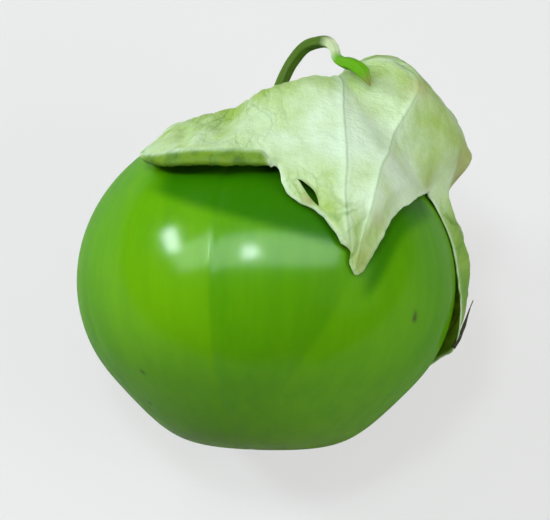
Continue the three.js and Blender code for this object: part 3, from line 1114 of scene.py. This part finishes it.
def husk_lining(settings):
    """The calyx's inner face: smoother and yellower than the outside, with a slight satin shine."""
    material, tree, marks = new_material("satin_husk_lining", "vein_map", "edge", "dead")
    place = add(tree, "ShaderNodeTexCoord").outputs["Object"]
    cells = add(
        tree,
        "ShaderNodeTexVoronoi",
        {"Vector": marks["vein_map"], "Scale": 340.0},
        feature="DISTANCE_TO_EDGE",
    )
    net = add(
        tree,
        "ShaderNodeMapRange",
        {"Value": cells, "From Max": 0.08, "To Min": 0.4, "To Max": 0.0},
    )
    mottle = add(tree, "ShaderNodeTexNoise", {"Vector": place, "Scale": 420.0, "Detail": 4.0})
    blotches = add(
        tree,
        "ShaderNodeMapRange",
        {"Value": mottle, "From Min": 0.42, "From Max": 0.62, "To Max": 0.85},
    )
    layers = (
        (blotches, settings.olive),
        (net, settings.vein),
        (marks["edge"], settings.pale),
        (marks["dead"], settings.dead),
    )
    return finish_material(
        material,
        {
            "Base Color": layered(tree, settings.inside, layers),
            "Roughness": 0.6,
            "Specular IOR Level": 0.2,
            "Subsurface Weight": 0.7,
            "Subsurface Radius": (1.0, 1.0, 0.6),
            "Subsurface Scale": 1.0 * MM,
        },
    )


def paint_husk(mesh, places, distance):
    """Paints what the husk's materials read. The sheet's points have a distance from the rim, and
    those after them are the shred's."""
    towards = unit(places)
    on_shred = np.zeros(len(places) - len(distance))
    azimuth, polar = np.radians(angles(towards))
    # The veins' cells come out longer along the ribs than across them.
    across = 20 * MM
    vein_map = [np.cos(azimuth) * across, np.sin(azimuth) * across, polar * 14 * MM]
    paint(mesh, "vein_map", np.stack(vein_map, axis=1))
    ribs = rib_lines(FINE)
    # The narrow lobe on the right is nearly as green all over as the ribs are elsewhere.
    green = strongest(towards, GREEN_PLACES)
    paint(mesh, "rib", line_marks(towards, ribs, RIB_GROOVE) + 3 * green)
    dry = strongest(towards, DRY_PLACES)
    # The paler flanks of the ribs and the rim fade where it is dry, and at the green front tip.
    bleached = (1 - dry) * (1 - 0.8 * bell(apart(towards, 28, 83), 8))
    paint(mesh, "beside_rib", 0.7 * line_marks(towards, ribs, RIB_FLANK) * bleached)
    ragged = 1 + 0.5 * noise_at(towards * HUSK_RADIUS, 2 * MM, 8)
    rim = np.concatenate([bell(distance, 0.4 * MM), on_shred])
    paint(mesh, "edge", 0.7 * rim * ragged * bleached * (1 - 0.5 * green))
    paint(mesh, "dry", np.clip(dry * (0.8 + 0.5 * noise_at(places, 1.5 * MM, 9)), 0, 1))
    fresh = 0.95 - 0.95 * strongest(towards, PALE_PLACES)
    paint(mesh, "fresh", fresh)
    paint(mesh, "dead", np.arange(len(places)) >= len(distance))
    inner = np.concatenate([smoothstep(distance, 0.5 * MM, 2 * MM), on_shred])
    paint(mesh, "quilted", (0.15 + 0.85 * fresh) * inner)


class TOMATILLO_OT_husk(bpy.types.Operator):
    """Makes the papery husk, torn open and pushed back over the berry"""

    bl_idname = "tomatillo.husk"
    bl_label = "Husk"

    def execute(self, context):
        settings = context.scene.tomatillo_husk
        towards, faces = husk_pattern(settings.spacing / HUSK_RADIUS)
        places, distance = husk_places(towards, settings)
        shred, shred_faces = shred_strip()
        places = np.concatenate([places, shred])
        faces = np.concatenate([faces, shred_faces + len(towards)])
        mesh = bpy.data.meshes.new("husk")
        mesh.from_pydata(places.tolist(), [], faces.tolist())
        paint_husk(mesh, places, distance)
        piece = grow(mesh, quilting_tree(), settings, husk_paper(settings))
        piece.data.materials.append(husk_lining(settings))
        wall = piece.modifiers.new("Wall", "SOLIDIFY")
        wall.thickness = settings.thickness
        wall.offset = -1
        wall.material_offset = 1
        plain_mesh(piece)
        settle(piece, "husk")
        return {"FINISHED"}


# ---------------------------------------------------------------- the stalk


def stalk_tree():
    """A ridged tube along a line, wide at the foot and drawn to a point at the picked end."""
    tree, given = new_tree(
        "Stalk sweep",
        Float=("Radius", "Foot Radius", "Ridges", "Ridge Height"),
        Int=("Sides", "Steps"),
    )
    line = add(tree, "GeometryNodeMeshToCurve", {"Mesh": given["Geometry"]})
    smooth = add(tree, "GeometryNodeCurveSplineType", {"Curve": line}, spline_type="CATMULL_ROM")
    fine = add(tree, "GeometryNodeResampleCurve", {"Curve": smooth, "Count": given["Steps"]})
    share = add(tree, "GeometryNodeSplineParameter").outputs["Factor"]
    marked = add(
        tree,
        "GeometryNodeStoreNamedAttribute",
        {"Geometry": fine, "Name": "along", "Value": share},
        data_type="FLOAT",
    )
    girth = add(tree, "ShaderNodeFloatCurve", {"Value": share})
    points = girth.mapping.curves[0].points
    for point, stop in zip(points, (GIRTH[0], GIRTH[-1])):
        point.location = stop
    for stop in GIRTH[1:-1]:
        points.new(*stop)
    girth.mapping.update()
    flare = bell_nodes(tree, share, 0.075)
    widened = add(tree, MATH, {0: given["Foot Radius"], 1: given["Radius"]}, operation="SUBTRACT")
    widened = add(tree, MATH, {0: widened, 1: flare}, operation="MULTIPLY")
    radius = add(tree, MATH, {0: girth, 1: given["Radius"], 2: widened}, operation="MULTIPLY_ADD")
    ring = add(
        tree, "GeometryNodeCurvePrimitiveCircle", {"Resolution": given["Sides"], "Radius": 1.0}
    )
    around = add(tree, "GeometryNodeSplineParameter").outputs["Factor"]
    ring = add(
        tree,
        "GeometryNodeStoreNamedAttribute",
        {"Geometry": ring, "Name": "around", "Value": around},
        data_type="FLOAT",
    )
    tube = add(
        tree,
        "GeometryNodeCurveToMesh",
        {"Curve": marked, "Profile Curve": ring, "Scale": radius, "Fill Caps": True},
    )
    turn = add(tree, "GeometryNodeInputNamedAttribute", {"Name": "around"}, data_type="FLOAT")
    count = add(tree, MATH, {0: given["Ridges"], 1: math.tau}, operation="MULTIPLY")
    wave = add(tree, MATH, {0: turn, 1: count}, operation="MULTIPLY")
    wave = add(tree, MATH, {0: wave}, operation="COSINE")
    knots = add(tree, "ShaderNodeTexNoise", {"Scale": 700.0, "Detail": 2.0})
    relief = add(tree, MATH, {0: knots, 1: 1.6, 2: wave}, operation="MULTIPLY_ADD")
    relief = add(tree, MATH, {0: relief, 1: -2.8}, operation="ADD")
    relief = add(tree, MATH, {0: relief, 1: given["Ridge Height"]}, operation="MULTIPLY")
    return finish_tree(tree, push_out(tree, tube, relief), given["Material"])


def stalk_fibre(settings):
    """A green, fibrous pedicel: satin, ridged along its length, painted darker olive along its leg
    for shade, vivid where it was picked, and painted pale on the outside of its bend for a highlight."""
    material, tree, marks = new_material("fibrous_green_stalk", "along", "around")
    ramp = add(tree, "ShaderNodeValToRGB", {"Fac": marks["along"]})
    # Painted shade along the leg, from 0.12 to 0.52, and a painted highlight on the bend, from 0.59
    # to 0.68.
    stops = (
        (0.0, settings.bright),
        (0.12, settings.shaded),
        (0.52, settings.shaded),
        (0.59, settings.highlight_and_fibres),
        (0.68, settings.highlight_and_fibres),
        (0.75, settings.bright),
        (0.93, settings.bright),
        (1.0, settings.cut),
    )
    elements = ramp.color_ramp.elements
    for element, (position, colour) in zip(elements, (stops[0], stops[-1])):
        element.position = position
        element.color = (*colour, 1)
    for position, colour in stops[1:-1]:
        elements.new(position).color = (*colour, 1)
    # Fibres about 0.25 mm wide, drawn out along the stalk.
    fibre_map = add(tree, "ShaderNodeCombineXYZ", {"X": marks["around"], "Y": marks["along"]})
    stretched = add(
        tree, "ShaderNodeVectorMath", {0: fibre_map, 1: (22.0, 6.0, 1.0)}, operation="MULTIPLY"
    )
    fibres = add(tree, "ShaderNodeTexNoise", {"Vector": stretched, "Scale": 1.0, "Detail": 3.0})
    share = add(
        tree,
        "ShaderNodeMapRange",
        {"Value": fibres, "From Min": 0.35, "From Max": 0.75, "To Max": 0.04},
    )
    bump = add(tree, "ShaderNodeBump", {"Height": fibres, "Strength": 0.4, "Distance": 0.1 * MM})
    return finish_material(
        material,
        {
            "Base Color": layered(tree, ramp.outputs["Color"], ((share, settings.highlight_and_fibres),)),
            "Normal": bump,
            "Roughness": 0.5,
            "Specular IOR Level": 0.08,
            "Subsurface Weight": 0.1,
            "Subsurface Scale": 0.6 * MM,
        },
    )


class TOMATILLO_OT_stalk(bpy.types.Operator):
    """Makes the arched stalk that the tomatillo was picked by"""

    bl_idname = "tomatillo.stalk"
    bl_label = "Stalk"

    def execute(self, context):
        settings = context.scene.tomatillo_stalk
        line = bpy.data.meshes.new("stalk")
        links = [(i, i + 1) for i in range(len(STALK_LINE) - 1)]
        line.from_pydata((np.array(STALK_LINE) * MM).tolist(), links, [])
        piece = grow(line, stalk_tree(), settings, stalk_fibre(settings))
        settle(piece, "stem")
        return {"FINISHED"}


# ---------------------------------------------------------------- the stage


FLOOR_REACH = 2.0  # metres from the middle to each side
DAYLIGHT = (0.86, 0.95, 1)  # what shines in the skin is daylight, a little bluer than the rest
# Lamps: name, place from the object's middle, width, depth, power, lights matt faces, shines.
LAMPS = (
    ("ceiling", (-0.10, 0.02, 0.62), 1.0, 0.4, 1.37, True, False),
    ("ceiling_band", (-0.02, -0.06, 0.62), 1.6, 0.27, 10.3, False, True),
    ("window_left", (-0.42, 0.09, 0.30), 0.07, 0.15, 1.5, True, True),
    ("lamp_above", (-0.08, -0.07, 0.5), 0.08, 0.08, 0.85, True, True),
    ("panel_right", (0.44, -0.22, 0.30), 0.4, 0.3, 1.6, True, False),
    ("back_left", (-0.28, 0.30, 0.36), 0.1, 0.1, 0.4, True, False),
)


def ray_kinds(tree):
    """Which rays come straight from the camera, and which come off gloss or through glass."""
    rays = add(tree, "ShaderNodeLightPath").outputs
    mirrored = add(
        tree, MATH, {0: rays["Is Glossy Ray"], 1: rays["Is Transmission Ray"]}, operation="MAXIMUM"
    )
    return rays["Is Camera Ray"], mirrored


def matt_board(settings):
    """Plain painted board: pale, matt and even. The camera sees it more than half lit from within,
    so that it stays near white and still keeps the object's shadow; gloss sees less of that."""
    material, tree, _ = new_material("matt_painted_board")
    seen, mirrored = ray_kinds(tree)
    share = add(tree, MATH, {0: mirrored, 1: 0.05}, operation="MULTIPLY")
    share = add(tree, MATH, {0: seen, 1: 0.62, 2: share}, operation="MULTIPLY_ADD")
    glow = add(tree, "ShaderNodeEmission", {"Color": (1, 1, 1, 1), "Strength": 1.0})
    board = tree.nodes["Principled BSDF"]
    both = add(tree, "ShaderNodeMixShader", {0: share, 1: board, 2: glow})
    connect(tree, tree.nodes["Material Output"], {"Surface": both})
    colour = (*settings.floor, 1)
    return finish_material(
        material, {"Base Color": colour, "Roughness": 0.9, "Specular IOR Level": 0.1}
    )


def studio_world():
    """White where the camera sees it, dim to all else, and a little less dim to gloss."""
    world = bpy.data.worlds.new("studio")
    world.use_nodes = True
    tree = world.node_tree
    seen, mirrored = ray_kinds(tree)
    strength = add(tree, MATH, {0: mirrored, 1: 0.03, 2: 0.05}, operation="MULTIPLY_ADD")
    strength = add(tree, MATH, {0: seen, 1: strength}, operation="MAXIMUM")
    connect(tree, tree.nodes["Background"], {"Color": (1, 1, 1, 1), "Strength": strength})
    return world


def hang_lamps(collection, middle):
    """Hangs the soft lamps, each facing the object with its width level."""
    for name, place, width, depth, power, lights, shines in LAMPS:
        lamp = bpy.data.lights.new(name, "AREA")
        lamp.shape = "RECTANGLE"
        lamp.size, lamp.size_y, lamp.energy = width, depth, power
        lamp.color = DAYLIGHT if shines else (1, 1, 1)
        holder = bpy.data.objects.new(name, lamp)
        away = Vector(place).normalized()
        depthwise = away.cross((1, 0, 0)).normalized()
        turn = Matrix((depthwise.cross(away), depthwise, away)).transposed()
        holder.matrix_world = Matrix.Translation(middle + Vector(place)) @ turn.to_4x4()
        holder.visible_diffuse, holder.visible_glossy = lights, shines
        collection.objects.link(holder)


class TOMATILLO_OT_stage(bpy.types.Operator):
    """Makes the floor, the soft lamps and the camera"""

    bl_idname = "tomatillo.stage"
    bl_label = "Stage"

    def execute(self, context):
        scene = context.scene
        settings = scene.tomatillo_stage
        low, high = CAD_BOX
        middle = (low + high) / 2
        mesh = bpy.data.meshes.new("floor")
        around = ((-1, -1), (1, -1), (1, 1), (-1, 1))
        corners = [(FLOOR_REACH * x, FLOOR_REACH * y, 0) for x, y in around]
        mesh.from_pydata(corners, [], [(0, 1, 2, 3)])
        mesh.materials.append(matt_board(settings))
        floor = bpy.data.objects.new("floor", mesh)
        scene.collection.objects.link(floor)
        scene.world = studio_world()
        hang_lamps(scene.collection, middle)
        camera = bpy.data.cameras.new("camera")
        camera.lens = settings.lens
        holder = bpy.data.objects.new("camera", camera)
        back = Vector((0, -math.cos(settings.elevation), math.sin(settings.elevation)))
        width = (high.x - low.x) / settings.share
        holder.location = middle + back * width * camera.lens / camera.sensor_width
        holder.rotation_euler = (-back).to_track_quat("-Z", "Y").to_euler()
        scene.collection.objects.link(holder)
        scene.camera = holder
        scene.view_settings.view_transform = "Standard"
        return {"FINISHED"}


# ---------------------------------------------------------------- the add-on


class TOMATILLO_PT_panel(bpy.types.Panel):
    """Lists the pieces with their sizes and colours"""

    bl_idname = "TOMATILLO_PT_panel"
    bl_label = "Tomatillo"
    bl_space_type = "VIEW_3D"
    bl_region_type = "UI"
    bl_category = "Tomatillo"

    def draw(self, context):
        for part in PARTS:
            box = self.layout.box()
            box.operator(f"tomatillo.{part}")
            settings = getattr(context.scene, f"tomatillo_{part}")
            for name in type(settings).__annotations__:
                box.prop(settings, name)


PARTS = {
    "berry": (BerrySettings, TOMATILLO_OT_berry),
    "husk": (HuskSettings, TOMATILLO_OT_husk),
    "stalk": (StalkSettings, TOMATILLO_OT_stalk),
    "stage": (StageSettings, TOMATILLO_OT_stage),
}


def register():
    for part, (settings, operator) in PARTS.items():
        bpy.utils.register_class(settings)
        bpy.utils.register_class(operator)
        setattr(bpy.types.Scene, f"tomatillo_{part}", PointerProperty(type=settings))
    bpy.utils.register_class(TOMATILLO_PT_panel)


def unregister():
    bpy.utils.unregister_class(TOMATILLO_PT_panel)
    for part, (settings, operator) in PARTS.items():
        delattr(bpy.types.Scene, f"tomatillo_{part}")
        bpy.utils.unregister_class(operator)
        bpy.utils.unregister_class(settings)


def main():
    register()
    bpy.ops.tomatillo.berry()
    bpy.ops.tomatillo.husk()
    bpy.ops.tomatillo.stalk()
    bpy.ops.tomatillo.stage()


if __name__ == "__main__":
    main()
